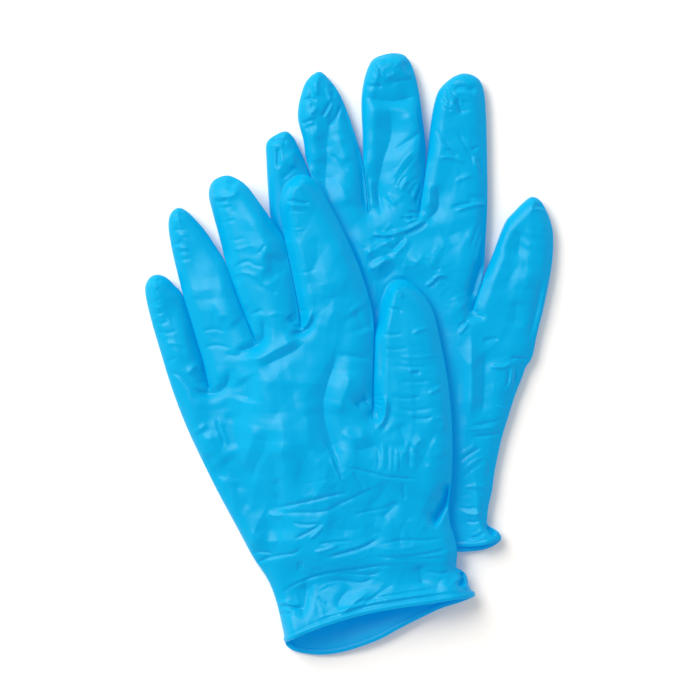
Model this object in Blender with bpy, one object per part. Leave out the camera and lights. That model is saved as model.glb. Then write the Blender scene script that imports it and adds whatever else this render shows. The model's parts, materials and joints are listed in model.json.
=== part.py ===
"""A pair of thin disposable gloves lying flat, the front one across the back one.

Each glove is one dip-moulded film with its edge rolled into a bead. The film is cut at one
knuckle of each free finger, so that the finger can bend up there, and the front glove lifts off
the back one. Lengths here are millimetres until a mesh is made. +Z is up, the origin is the
middle of the pair's footprint on the surface that it lies on, and the fingers point to +Y.
"""

from math import radians, tan

import bmesh
import bpy
import numpy as np
from mathutils import Vector
from mathutils.geometry import delaunay_2d_cdt

MM = 0.001
WALL = 0.4  # of the film; the real 0.1 is too thin for a solid
THICKNESS = 8.0  # of a glove that holds a little air
BACK_MOUTH_HEIGHT, FRONT_MOUTH_HEIGHT = 7.6, 12.0
EDGE_HEIGHT = 3.0  # of the fold at a glove's outline above what it lies on
CROWN = 12.0  # how far in from the outline the top reaches its full height
UNDERSIDE = 2.5  # how far in from the outline the underside is flat
STACK_HEIGHT = 9.0  # of the front glove above the surface where it lies on the back glove
DRAPE_NEAR, DRAPE_FAR = 5.0, 32.0  # from the back glove's outline: where the front one starts and ends its slope
OUTLINE_STEP, SHEET_STEP = 5.2, 9.5  # between the points of an outline and of a sheet
TOP_RINGS, UNDER_RINGS = (1.5, 5.0), (2.5,)  # depths inside the outline where a sheet has a row of points
GRID_SPARE = 3.0  # from the innermost of those rows to the rest of the sheet's points
BEAD_RADIUS, BEAD_GAP, BEAD_STEP = 0.9, 0.4, 5.0
BEND_LIMIT = 75.0  # degrees that a finger bends up
HINGE_HEIGHT = 3.4  # of a knuckle's axis above what the finger lies on
HINGE_GAP = 0.2  # each side of a knuckle's axis
NOTCH_SPARE = 0.4  # that a notch goes on past the outline, less than the slit between two fingers
CUTTER_TOP, CUTTER_BOTTOM = 30.0, -3.0
FILM_COLOUR = (0.0, 0.40, 0.86, 1.0)
BEAD_COLOUR = (0.0, 0.33, 0.78, 1.0)

# An outline goes clockwise from the mouth's left corner. Each run goes round one finger, and the
# slit between two runs is where one finger lies against the next.
BACK_RUNS = {
    "little_finger": [
        (-24, -93), (-22.5, -85), (-22.5, -70), (-24.5, -50), (-27, -30), (-30, -8), (-33, 15),
        (-35.5, 35), (-37.5, 55), (-38.8, 69), (-39.8, 82), (-40.6, 96), (-40.5, 104.5),
        (-36, 108.5), (-31, 110.2), (-27.5, 107.5), (-24.5, 102), (-20.8, 93.5), (-18.8, 87.5),
        (-17, 78), (-15, 66), (-13.2, 55),
    ],
    "ring_finger": [
        (-11.8, 55), (-13.4, 66), (-15.4, 78), (-17.2, 87.5), (-19, 92), (-20.8, 98),
        (-22.4, 106), (-24.6, 114), (-25, 121), (-23, 130), (-20, 136.2), (-14.5, 139.7),
        (-10, 136.3), (-5.5, 130.5), (-2.5, 124.5), (0.5, 116.5), (3.5, 107.5), (6.2, 97),
        (7.2, 90), (8.2, 80), (9, 70),
    ],
    "middle_finger": [
        (10.4, 70), (9.6, 80), (8.7, 90), (7.8, 97), (7, 108), (6.4, 118), (6.4, 127),
        (7.5, 135), (9.7, 142), (13, 146.5), (21, 148.8), (27, 148), (30.3, 144.5),
        (32.5, 139), (34.5, 130.5), (36, 120.5), (37.3, 110.5), (37.9, 103), (37.6, 95),
        (36.4, 85), (35, 77), (34.2, 71),
    ],
    "index_finger": [
        (35.6, 71), (36.5, 77), (37.9, 85), (39.1, 95), (39.5, 104), (40.3, 112), (41.5, 120),
        (43.3, 127.5), (45.5, 131.8), (50, 136), (54, 138.2), (58, 138.8), (62.5, 137.3),
        (65.5, 134), (67, 128), (67.8, 118), (68.3, 100), (68.5, 75), (67.6, 57), (66, 43),
        (64.2, 34), (62, 28), (60.4, 22.5),
    ],
    "thumb": [
        (62, 22.3), (64, 28.6), (66.6, 36), (69.5, 44), (73, 53), (77, 64.5), (82, 70.8),
        (88, 76.6), (91.5, 77.8), (95, 75.5), (98.5, 69), (100.7, 61), (100.8, 50), (99.3, 38),
        (96, 22), (93, 10), (91.2, 1), (89.5, -3), (87, -8), (84, -16), (80, -27.5),
        (76.8, -38.5), (74, -48), (72, -58), (70.8, -67), (69.2, -75), (68.3, -82.5),
        (70, -85.3), (72.5, -87.3), (75, -90),
    ],
}
BACK_TOP_MOUTH = [(75, -90), (65, -93), (50, -95), (35, -96), (20, -96.5), (5, -96), (-10, -95), (-24, -93)]
BACK_UNDER_MOUTH = [(75, -90), (66, -94.5), (55, -96.5), (40, -97.5), (20, -98.5), (0, -98), (-14, -96), (-24, -93)]

FRONT_RUNS = {
    "little_finger": [
        (-31, -139.5), (-33.5, -131), (-36, -121), (-40, -111), (-47.5, -99.5), (-55, -85.5),
        (-66, -65), (-79, -38), (-87, -17.5), (-92.5, 0), (-97.5, 17), (-100.5, 31), (-99, 37),
        (-95, 39.5), (-90, 38), (-85.8, 34), (-82.8, 29.5), (-79.8, 20), (-75.8, 6.5),
        (-72.8, -3), (-69.8, -16),
    ],
    "ring_finger": [
        (-68.4, -16.2), (-71.4, -3), (-74.4, 7), (-78.4, 20), (-81.4, 30), (-85, 42),
        (-87.5, 53), (-89, 63), (-88, 69.5), (-84, 72.5), (-79.5, 70.5), (-75, 66), (-70, 60),
        (-65, 52.5), (-61.5, 46), (-58.8, 38), (-54.8, 27), (-50.8, 17), (-46.4, 6.4),
    ],
    "middle_finger": [
        (-45, 6.8), (-49.4, 17.4), (-53.4, 27.4), (-57.4, 38.4), (-60.3, 47), (-64, 60),
        (-66.8, 69), (-69, 79), (-67, 85.5), (-60.5, 88.2), (-55, 86.5), (-50, 82.8),
        (-45, 76.3), (-39.5, 68.5), (-35, 61.5), (-32.6, 56), (-30, 45), (-27.3, 32),
        (-25.4, 22), (-24.3, 13.5),
    ],
    "index_finger": [
        (-23, 13.5), (-24, 22), (-25.8, 32), (-28.4, 45), (-31, 57), (-33.2, 67), (-34, 75),
        (-32, 83), (-28, 87), (-23.5, 88.6), (-18.5, 87), (-14, 82), (-10, 75), (-5, 65.5),
        (0, 55), (5, 43.5), (8.5, 33), (10.8, 23.5), (11.8, 14), (11.4, 0), (11, -15),
        (11.2, -27),
    ],
    "thumb": [
        (12.6, -27), (12.4, -15), (12.9, 0), (13.4, 11), (14.8, 21.5), (17, 30.5), (20, 35.3),
        (24.5, 37), (30, 35.5), (35.5, 31), (40, 24.5), (42.7, 17), (45.2, 6), (47.4, -5),
        (49.3, -17), (50.6, -32), (51, -48), (50.5, -62), (49.2, -75), (50, -83), (52.2, -90),
        (53.4, -97), (53.4, -104), (55.5, -107), (58, -110.5), (60, -115), (62, -118),
    ],
}
FRONT_TOP_MOUTH = [
    (62, -118), (52, -121), (40, -123.3), (28, -124.8), (15, -127.5), (5, -131), (-5, -135), (-18, -138.5),
    (-31, -139.5),
]
FRONT_UNDER_MOUTH = [
    (62, -118), (50, -121.8), (38, -126.5), (25, -132.6), (12, -139), (0, -143.3), (-12, -145.4),
    (-22, -145), (-28, -142.5), (-31, -139.5),
]

# Knuckle: the middle of its axis, and the direction of the finger from there to its tip.
BACK_KNUCKLES = {
    "ring_finger": ((-8.8, 103.7), (-0.20, 0.98)),
    "middle_finger": ((22.6, 103), (-0.02, 1.0)),
    "index_finger": ((53.9, 103), (0.05, 1.0)),
    "thumb": ((83.7, 38.1), (0.26, 0.96)),
}
FRONT_KNUCKLES = {
    "little_finger": ((-86.2, 10.1), (-0.27, 0.96)),
    "ring_finger": ((-69.3, 31.6), (-0.32, 0.95)),
    "middle_finger": ((-46.4, 51.3), (-0.29, 0.96)),
    "index_finger": ((-13.6, 48.5), (-0.25, 0.97)),
    "thumb": ((29.1, 3.8), (-0.12, 0.99)),
}


def smooth_run(points, step):
    """Points about a step apart on a Catmull-Rom curve through the given ones."""
    through = [Vector(p) for p in points]
    through = [2 * through[0] - through[1], *through, 2 * through[-1] - through[-2]]
    dense = []
    for a, b, c, d in zip(through, through[1:], through[2:], through[3:]):
        for t in np.linspace(0, 1, 12, endpoint=False):
            dense.append(
                0.5 * (2 * b + (c - a) * t + (2 * a - 5 * b + 4 * c - d) * t**2 + (3 * b - a - 3 * c + d) * t**3)
            )
    dense = np.array([*dense, through[-2]])
    along = np.concatenate([[0], np.cumsum(np.linalg.norm(np.diff(dense, axis=0), axis=1))])
    stations = np.linspace(0, along[-1], max(2, round(along[-1] / step) + 1))
    return np.column_stack([np.interp(stations, along, dense[:, k]) for k in range(2)])


def distance_to(line, points):
    """How far each point is from a polyline."""
    starts, steps = line[:-1], np.diff(line, axis=0)
    to_points = points[:, None] - starts[None]
    share = np.clip((to_points * steps).sum(2) / (steps**2).sum(1), 0, 1)
    return np.linalg.norm(to_points - share[..., None] * steps, axis=2).min(1)


def inside(loop, points):
    """Whether each point is inside a closed loop."""
    x, y = points[:, :1], points[:, 1:]
    x0, y0 = loop.T
    x1, y1 = np.roll(loop, -1, axis=0).T
    spans = (y0 > y) != (y1 > y)
    crosses = spans & (x < (x1 - x0) * (y - y0) / np.where(y1 == y0, 1, y1 - y0) + x0)
    return crosses.sum(1) % 2 == 1


def reach(line, start, direction):
    """How far it is from a point to the nearest crossing of a polyline, along a unit direction."""
    ends = line - start
    along, across = ends @ direction, ends @ np.array([-direction[1], direction[0]])
    crossed = across[:-1] * across[1:] < 0
    share = across[:-1][crossed] / (across[:-1][crossed] - across[1:][crossed])
    distances = along[:-1][crossed] + share * (along[1:][crossed] - along[:-1][crossed])
    return distances[distances > 0].min()


def ring_inside(loop, depth):
    """Points a depth inside a clockwise loop, with none too close to another."""
    along = np.roll(loop, -1, axis=0) - np.roll(loop, 1, axis=0)
    inward = np.column_stack([along[:, 1], -along[:, 0]]) / np.linalg.norm(along, axis=1)[:, None]
    ring = loop + depth * inward
    closed = np.vstack([loop, loop[:1]])
    ring = ring[inside(loop, ring) & (distance_to(closed, ring) > 0.9 * depth)]
    kept = [ring[0]]
    for point in ring[1:]:
        if np.linalg.norm(np.array(kept) - point, axis=1).min() > 0.55 * OUTLINE_STEP:
            kept.append(point)
    return np.array(kept)


def flat_sheet(side, mouth, ring_depths):
    """Triangles of the area inside a side outline and a mouth line. The side's points come first."""
    loop = np.vstack([side, mouth[1:-1]])
    low, high = loop.min(0), loop.max(0)
    row_height = SHEET_STEP * 0.866
    grid = [
        (x + (row % 2) * SHEET_STEP / 2, low[1] + row * row_height)
        for row in range(int((high[1] - low[1]) / row_height) + 2)
        for x in np.arange(low[0], high[0] + SHEET_STEP, SHEET_STEP)
    ]
    grid = np.array(grid)
    closed = np.vstack([loop, loop[:1]])
    grid = grid[inside(loop, grid) & (distance_to(closed, grid) > ring_depths[-1] + GRID_SPARE)]
    grid = np.vstack([*(ring_inside(loop, depth) for depth in ring_depths), grid])
    points = [Vector(p) for p in np.vstack([loop, grid])]
    edges = [(i, (i + 1) % len(loop)) for i in range(len(loop))]
    made, _, faces, sources, _, _ = delaunay_2d_cdt(points, edges, [], 0, 1e-6)
    index = [min(s) for s in sources]
    centres = np.array([np.mean([made[i] for i in f], axis=0) for f in faces])
    faces = [[index[i] for i in f] for f, kept in zip(faces, inside(loop, centres)) if kept]
    return np.vstack([loop, grid]), faces


class Glove:
    """One glove's outline and the heights of its two sheets."""

    def __init__(self, runs, top_mouth, under_mouth, mouth_height):
        self.side = np.vstack([smooth_run(points, OUTLINE_STEP) for points in runs.values()])
        self.top_mouth = smooth_run(top_mouth, OUTLINE_STEP)
        self.under_mouth = smooth_run(under_mouth, OUTLINE_STEP)
        self.mouth_height = mouth_height
        self.below = None

    def footprint(self):
        return np.vstack([self.side, self.under_mouth[1:-1]])

    def base(self, points):
        """Height of what lies under the glove: the surface, or the back glove with a slope beside it."""
        if self.below is None:
            return np.zeros(len(points))
        loop = self.below.footprint()
        outside = np.where(inside(loop, points), 0, distance_to(loop, points))
        share = np.clip((DRAPE_FAR - outside) / (DRAPE_FAR - DRAPE_NEAR), 0, 1)
        return STACK_HEIGHT * share**2 * (3 - 2 * share)

    def top(self, points):
        inward = 1 - np.clip(distance_to(self.side, points) / CROWN, 0, 1)
        near_mouth = np.clip(1 - distance_to(self.top_mouth, points) / 25, 0, 1)
        crown = THICKNESS + (self.mouth_height - THICKNESS) * near_mouth**2 * (3 - 2 * near_mouth)
        return self.base(points) + EDGE_HEIGHT + (crown - EDGE_HEIGHT) * np.sqrt(1 - inward**2)

    def underside(self, points):
        inward = 1 - np.clip(distance_to(self.side, points) / UNDERSIDE, 0, 1)
        return self.base(points) + EDGE_HEIGHT * (1 - np.sqrt(1 - inward**2))

    def mouth_loop(self, outward):
        """The film's edge round the mouth, moved outward in plan, as points in space."""
        lines = []
        for line, height in ((self.top_mouth, self.top), (self.under_mouth[::-1], self.underside)):
            along = np.gradient(line, axis=0)
            across = np.column_stack([-along[:, 1], along[:, 0]])
            across /= np.linalg.norm(across, axis=1)[:, None]
            if across[:, 1].mean() > 0:
                across = -across
            lines.append(np.column_stack([line + outward * across, height(line)])[1:-1])
        return np.vstack(lines)


def make_material(name, colour, roughness):
    material = bpy.data.materials.new(name)
    material.use_nodes = True
    shader = material.node_tree.nodes["Principled BSDF"]
    shader.inputs["Base Color"].default_value = colour
    shader.inputs["Roughness"].default_value = roughness
    return material


def add_object(name, data, material=None):
    obj = bpy.data.objects.new(name, data)
    bpy.context.scene.collection.objects.link(obj)
    if material:
        data.materials.append(material)
    return obj


def mesh_of(name, points, faces):
    """A mesh from points in millimetres, with its faces turned outward."""
    mesh = bpy.data.meshes.new(name)
    mesh.from_pydata([Vector(p) * MM for p in points], [], faces)
    shape = bmesh.new()
    shape.from_mesh(mesh)
    bmesh.ops.recalc_face_normals(shape, faces=shape.faces)
    shape.to_mesh(mesh)
    shape.free()
    return mesh


def film_mesh(name, glove):
    """The film's outer surface: a top sheet and an underside sheet joined along the outline, open at the mouth."""
    shared = len(glove.side)
    top_flat, top_faces = flat_sheet(glove.side, glove.top_mouth, TOP_RINGS)
    under_flat, under_faces = flat_sheet(glove.side, glove.under_mouth, UNDER_RINGS)
    points = np.vstack([
        np.column_stack([top_flat, glove.top(top_flat)]),
        np.column_stack([under_flat, glove.underside(under_flat)])[shared:],
    ])
    moved = len(top_flat) - shared
    under_faces = [[i if i < shared else i + moved for i in f][::-1] for f in under_faces]
    return mesh_of(name, points, top_faces + under_faces)


def prism(name, plan, direction, left, right, section):
    """A hidden cutter: a section along a finger and upward, carried across the finger by an extrude."""
    ahead = Vector((*direction, 0)).normalized()
    sideways = Vector((ahead.y, -ahead.x, 0))
    start = Vector((*plan, 0)) - sideways * left
    shape = bmesh.new()
    corners = [shape.verts.new((start + ahead * s + Vector((0, 0, z))) * MM) for s, z in section]
    face = shape.faces.new(corners)
    extruded = bmesh.ops.extrude_face_region(shape, geom=[face])["geom"]
    moved = [v for v in extruded if isinstance(v, bmesh.types.BMVert)]
    bmesh.ops.translate(shape, verts=moved, vec=sideways * (left + right) * MM)
    bmesh.ops.recalc_face_normals(shape, faces=shape.faces)
    mesh = bpy.data.meshes.new(name)
    shape.to_mesh(mesh)
    shape.free()
    cutter = add_object(name, mesh)
    cutter.hide_render = True
    cutter.display_type = "WIRE"
    return cutter


def knuckle_notch(name, plan, direction, base, left, right):
    """What is cut out of the film at a knuckle: a slit up to the axis, and above it a V that closes as the finger bends."""
    axis = base + HINGE_HEIGHT
    flare = HINGE_GAP + (CUTTER_TOP - axis) * tan(radians(BEND_LIMIT / 2))
    section = [
        (-HINGE_GAP, CUTTER_BOTTOM), (HINGE_GAP, CUTTER_BOTTOM), (HINGE_GAP, axis),
        (flare, CUTTER_TOP), (-flare, CUTTER_TOP), (-HINGE_GAP, axis),
    ]
    return prism(name, plan, direction, left, right, section)


def cut(obj, cutter):
    modifier = obj.modifiers.new(cutter.name, "BOOLEAN")
    modifier.operation = "DIFFERENCE"
    modifier.object = cutter


def islands(mesh):
    """The separate pieces of a mesh, as lists of faces."""
    shape = bmesh.new()
    shape.from_mesh(mesh)
    left, found = set(shape.faces), []
    while left:
        piece, edge = [], [left.pop()]
        while edge:
            face = edge.pop()
            piece.append(face)
            for corner in face.verts:
                for other in corner.link_faces:
                    if other in left:
                        left.remove(other)
                        edge.append(other)
        found.append(piece)
    return shape, found


def split_film(prefix, film, knuckles, film_material, origins):
    """Makes one object of each piece of the notched film, named by the finger whose tip it holds."""
    evaluated = bpy.data.meshes.new_from_object(film.evaluated_get(bpy.context.evaluated_depsgraph_get()))
    shape, pieces = islands(evaluated)
    pieces.sort(key=len, reverse=True)
    names = {}
    for number, piece in enumerate(pieces):
        centre = sum((f.calc_center_median() for f in piece), Vector()) / len(piece)
        name = "hand_film" if number == 0 else min(
            knuckles, key=lambda k: (Vector((*knuckles[k][0], 0)) * MM + Vector((*knuckles[k][1], 0)) * 0.02 - centre).length
        )
        names[name] = piece
    for name, piece in names.items():
        origin = origins.get(name, Vector())
        corners = list(dict.fromkeys(v for f in piece for v in f.verts))
        index = {v: i for i, v in enumerate(corners)}
        mesh = bpy.data.meshes.new(f"{prefix}_{name}")
        mesh.from_pydata([v.co - origin for v in corners], [], [[index[v] for v in f.verts] for f in piece])
        mesh.shade_smooth()
        mesh.set_sharp_from_angle(angle=radians(50))
        add_object(f"{prefix}_{name}", mesh, film_material).location = origin
    shape.free()
    bpy.data.objects.remove(film)


def bead(name, glove, material):
    """The rolled edge round the mouth, a ring of round section just outside the film's edge."""
    loop = glove.mouth_loop(BEAD_RADIUS + BEAD_GAP)
    loop[:, 2] = np.maximum(loop[:, 2], glove.base(loop[:, :2]) + BEAD_RADIUS)
    closed = np.vstack([loop, loop[:1]])
    along = np.concatenate([[0], np.cumsum(np.linalg.norm(np.diff(closed, axis=0), axis=1))])
    stations = np.linspace(0, along[-1], round(along[-1] / BEAD_STEP), endpoint=False)
    path = np.column_stack([np.interp(stations, along, closed[:, k]) for k in range(3)])
    curve = bpy.data.curves.new(name, "CURVE")
    curve.dimensions = "3D"
    spline = curve.splines.new("POLY")
    spline.points.add(len(path) - 1)
    for point, place in zip(spline.points, path):
        point.co = (*(place * MM), 1)
    spline.use_cyclic_u = True
    curve.bevel_depth = BEAD_RADIUS * MM
    curve.bevel_resolution = 2
    add_object(name, curve, material)


def build_glove(prefix, glove, knuckles, film_material, bead_material):
    film = add_object(f"{prefix}_film", film_mesh(f"{prefix}_film", glove))
    wall = film.modifiers.new("wall", "SOLIDIFY")
    wall.thickness = WALL * MM
    wall.offset = -1
    origins = {}
    for finger, (plan, direction) in knuckles.items():
        base = float(glove.base(np.array([plan]))[0])
        sideways = np.array([direction[1], -direction[0]]) / np.hypot(*direction)
        left, right = (reach(glove.side, np.array(plan), way) + NOTCH_SPARE for way in (-sideways, sideways))
        cut(film, knuckle_notch(f"{prefix}_{finger}_notch", plan, direction, base, left, right))
        origins[finger] = Vector((*plan, base + HINGE_HEIGHT)) * MM
    split_film(prefix, film, knuckles, film_material, origins)
    bead(f"{prefix}_rolled_bead", glove, bead_material)


def main():
    for obj in list(bpy.data.objects):
        bpy.data.objects.remove(obj)
    film_material = make_material("nitrile_film", FILM_COLOUR, 0.42)
    bead_material = make_material("rolled_edge", BEAD_COLOUR, 0.48)
    back = Glove(BACK_RUNS, BACK_TOP_MOUTH, BACK_UNDER_MOUTH, BACK_MOUTH_HEIGHT)
    front = Glove(FRONT_RUNS, FRONT_TOP_MOUTH, FRONT_UNDER_MOUTH, FRONT_MOUTH_HEIGHT)
    front.below = back
    build_glove("back", back, BACK_KNUCKLES, film_material, bead_material)
    build_glove("front", front, FRONT_KNUCKLES, film_material, bead_material)


main()
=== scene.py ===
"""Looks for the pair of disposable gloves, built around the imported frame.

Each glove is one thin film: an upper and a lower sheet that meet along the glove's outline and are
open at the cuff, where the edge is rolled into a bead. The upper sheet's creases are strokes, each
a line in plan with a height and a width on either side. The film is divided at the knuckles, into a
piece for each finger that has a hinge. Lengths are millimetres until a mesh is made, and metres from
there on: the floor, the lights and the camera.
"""

import json
from math import cos, pi, radians, sin

import bpy
import numpy as np
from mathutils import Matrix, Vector, kdtree
from mathutils.geometry import delaunay_2d_cdt


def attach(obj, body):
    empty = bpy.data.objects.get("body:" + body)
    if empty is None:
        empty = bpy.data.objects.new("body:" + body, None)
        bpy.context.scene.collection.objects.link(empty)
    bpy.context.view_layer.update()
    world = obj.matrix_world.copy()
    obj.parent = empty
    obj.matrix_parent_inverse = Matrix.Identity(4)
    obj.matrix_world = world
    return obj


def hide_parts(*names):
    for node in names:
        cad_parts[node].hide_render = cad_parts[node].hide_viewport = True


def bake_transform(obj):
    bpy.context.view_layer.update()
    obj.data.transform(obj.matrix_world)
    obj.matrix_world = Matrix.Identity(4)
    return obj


MM = 0.001

# The film and the heights of a glove's sheets.
FILM = 0.12  # its thickness
THINNEST = 1.0  # of a glove, where its creases are deep
THICKNESS, PALM_SWELL = 9.0, 2.0  # of a glove that holds a little air, and the rise in its palm
PALM_FROM, PALM_REACH = 12.0, 24.0  # from the outline to the rise, and on to its full height
FOLD_HEIGHT, FOLD_SWING = 4.2, 1.0  # of the fold at the outline, and how much more on the shaded side
STACK_FOLD, STACK_SWING = 2.7, 2.7  # the same where it lies on the other glove
SLIT_OVER, SLIT_UNDER = 3.4, 0.5  # the fold's rise where fingers touch, on the upper and the lower one
SLIT_WIDTH = 0.6  # fingers closer than this touch
OUTLINE_MEAN = 9  # points of the outline that a height or a shade is averaged over
CROWN, CROWN_SWING = 10.0, 3.5  # from the outline to full height, and how much more on the shaded side
SHADED_SIDE = (0.75, -0.66)  # where the tops slope down most
UNDERSIDE = 3.0  # how far in from the outline the underside is flat
FLOOR_GAP, UNDER_CRUMPLE = 0.1, 0.5  # below the underside, and its share of the facets' height
STACK_HEIGHT, CUFF_SINK = 9.2, 4.6  # of the front glove on the back one, and how much less at the cuffs
DRAPE = ((2.0, 42.0), (1.0, 18.0))  # start and end of the slope off the back glove, at palms and cuffs
CUFFS_FROM, CUFFS_REACH = -45.0, 40.0  # where the palms end, and on to where the cuffs are full
LIP_RISE, LIP_REACH = 55.0, 20.0  # of the lower lip: along the mouth, and back into the cuff
MOUTH_REACH = 20.0  # how far back into the cuff the mouth's height changes the upper sheet
BACK_HEIGHTS, FRONT_HEIGHTS = (7.5, 2.0), (14.5, 4.5)  # of each cuff's mouth, and its lower lip's rise
STACK_GAP = 0.25  # between the two gloves where one lies on the other
SWELL, SWELL_FROM = 0.3, 24.0  # the back glove's slope beside the front one, and where it is full

# Points of the sheets.
TOP_STEP, UNDER_STEP = 0.65, 1.5
OUTLINE_STEP, PATH_STEP = 0.8, 1.0
CURVE_POINTS = 16  # of a curve between two given ones, before they are spaced evenly
ROW_STEP = 0.866  # between rows of points, as a share of the step between points
RINGS = (0.15, 0.55, 1.2)  # depths inside the outline where a sheet has a row of points
RING_ROOM = 0.45  # from the rings to the grid, in steps
RING_LEAST = 0.96  # of a ring's depth, which its points keep from the outline
HIDDEN_FROM, HIDDEN_STEP = 6.0, 3  # inside the other glove, where one row and column in three is kept
TRIES = 3  # nearest outline points to look at, because the two sides of a slit nearly touch
BATCH = 4000  # points tested at a time

# Creases and facets.
CALM_EDGE = 1.3  # how far in from the outline a crease reaches its full height
CREASE_REACH = 2.4  # widths of a crease from its sharp middle to its foot
CREASE_END = 0.25  # share of a crease's length over which it fades at each end
HEADING_SPREAD, BOW_SPREAD = 16, 0.22  # of small creases, in degrees and half lengths
LENGTHS, HEIGHTS, WIDTHS = (0.6, 1.4), (0.5, 1.2), (0.8, 1.4)  # of small creases, as shares
FACETS = (41, 31, 24, 17, 11)  # how wide the folds are that crumple the film into flat facets
BACK_SEED, FRONT_SEED = 41, 51  # of the facets
FACET_SLOPE, FACET_FADE = 0.055, 6.0  # of the facets, and how far in from the outline they are full
FACET_BOW, FACET_WAVE, FACET_PATCH = 0.12, 1.7, 0.7  # how folds bend and break up, by their widths
BESIDE_CALM, BESIDE_FADE = 2.5, 10.0  # from the front glove to the back one's full creases and facets

# Finger pieces and beads.
SEAM_BEHIND = 9.6  # of a knuckle, where its finger piece starts
BEAD_WIDTH, BEAD_HEIGHT, BEAD_SIDES = 3.0, 1.7, 40
BEAD_DROP, BEAD_ROUNDS = 0.2, 3  # of its middle below the film, in heights, and how often it is smoothed
GROOVES, GROOVE_DEPTH, GROOVE_POWER = 6, 0.12, 8  # round the bead; a higher power makes them narrower

# Materials, with a noise's scale and detail, and the floor and lights.
MOTTLE_NOISE, GLOSS_NOISE, GRAIN_NOISE = (60, 4), (180, 5), (900, 3)
GRAIN_STRENGTH, GRAIN_DEPTH = 0.10, 0.00015
SHINE = 0.075
GLOW, GLOW_COLOUR = 0.385, (0, 0.27, 1, 1)  # stands in for the light that comes through the film
FILM_LOOK = (0.0, 0.262, 0.325, 1), (0.0, 0.245, 0.31, 1), (0.25, 0.34)  # two colours, and roughness
# The inner faces are a lighter blue than the film outside: painted light, for the light that comes through
# the film.
INSIDE_PAINTED_LIGHT_LOOK = (0.0, 0.29, 0.36, 1), (0.0, 0.275, 0.345, 1), (0.40, 0.50)
BEAD_LOOK = (0.0, 0.268, 0.335, 1), (0.0, 0.247, 0.315, 1), (0.34, 0.44)
FLOOR_HALF, FLOOR_DROP, FLOOR_COLOUR = 3.0, 0.0002, (0.96, 0.93, 0.89, 1)
WALL_LIGHT, CEILING_LIGHT = 1.15, 0.36
KEY = (-1.3, 1.2, 1.45), 1.7, 64  # place, size and watts
SHEEN = (-0.75, 0.7, 1.6), 1.2, 30
LENS, SENSOR, CLIP = 160, 36, (0.05, 20)
VIEW_WIDTH, VIEW_CENTRE = 0.3465, (0.0007, 0.0022)

# An outline goes clockwise from the mouth's left corner. Each run goes round one finger.
BACK_RUNS = {
    "little_finger": [
        (-24, -93), (-22.5, -85), (-22.5, -70), (-24.5, -50), (-27, -30), (-30, -8), (-33, 15),
        (-35.5, 35), (-37.5, 55), (-38.8, 69), (-39.8, 82), (-40.6, 96), (-40.5, 104.5),
        (-36, 108.5), (-31, 110.2), (-27.5, 107.5), (-24.5, 102), (-20.8, 93.5), (-18.6, 87.5),
        (-16.6, 78), (-14.6, 66), (-12.6, 55),
    ],
    "ring_finger": [
        (-12.45, 55), (-14.45, 66), (-16.45, 78), (-18.4, 87.5), (-20, 93), (-21.3, 98),
        (-22.4, 106), (-24.6, 114), (-25, 121), (-23, 130), (-20, 136.2), (-14.5, 139.7),
        (-10, 136.3), (-5.5, 130.5), (-2.5, 124.5), (0.5, 116.5), (3.5, 107.5), (6.6, 97),
        (7.75, 90), (8.75, 80), (9.6, 70),
    ],
    "middle_finger": [
        (9.75, 70), (8.9, 80), (7.9, 90), (7.1, 97), (6.9, 108), (6.4, 118), (6.4, 127),
        (7.5, 135), (9.7, 142), (13, 146.5), (21, 148.8), (27, 148), (30.3, 144.5),
        (32.5, 139), (34.5, 130.5), (36, 120.5), (37.3, 110.5), (38, 103), (38, 95),
        (37, 85), (35.8, 77), (34.95, 71),
    ],
    "index_finger": [
        (35.1, 71), (35.95, 77), (37.2, 85), (38.5, 95), (39.4, 104), (40.3, 112), (41.5, 120),
        (43.3, 127.5), (45.5, 131.8), (50, 136), (54, 138.2), (58, 138.8), (62.5, 137.3),
        (65.5, 134), (67, 128), (67.8, 118), (68.3, 100), (68.5, 75), (67.6, 57), (66.9, 43),
        (65.2, 34), (63, 28), (60.9, 22),
    ],
    "thumb": [
        (61.1, 21.9), (63.15, 28), (65.35, 34), (67.4, 40.5), (71, 49), (77, 64.5), (82, 70.8),
        (88, 76.6), (91.5, 77.8), (95, 75.5), (98.5, 69), (100.7, 61), (100.8, 50), (99.3, 38),
        (96, 22), (93, 10), (91.2, 1), (90, -2.5), (87.3, -6.5), (85.5, -11.5), (82, -20.5),
        (79, -30), (75.6, -41), (73.6, -50), (72, -58), (70.8, -67), (69, -75), (68.3, -82.5),
        (69.2, -84.6), (71.8, -86), (74.2, -87.8), (75, -90),
    ],
}
# A cuff's upper and lower line, from the right corner to the left one.
BACK_MOUTHS = (
    [
        (75, -90), (70, -91.6), (64, -92.9), (55, -93.6), (40, -94), (20, -94.5), (5, -94.5),
        (-10, -94), (-24, -93),
    ],
    [
        (75, -90), (72, -92.8), (66, -95.2), (58, -96), (40, -96.5), (20, -97), (0, -97),
        (-14, -95.5), (-24, -93),
    ],
)

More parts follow.
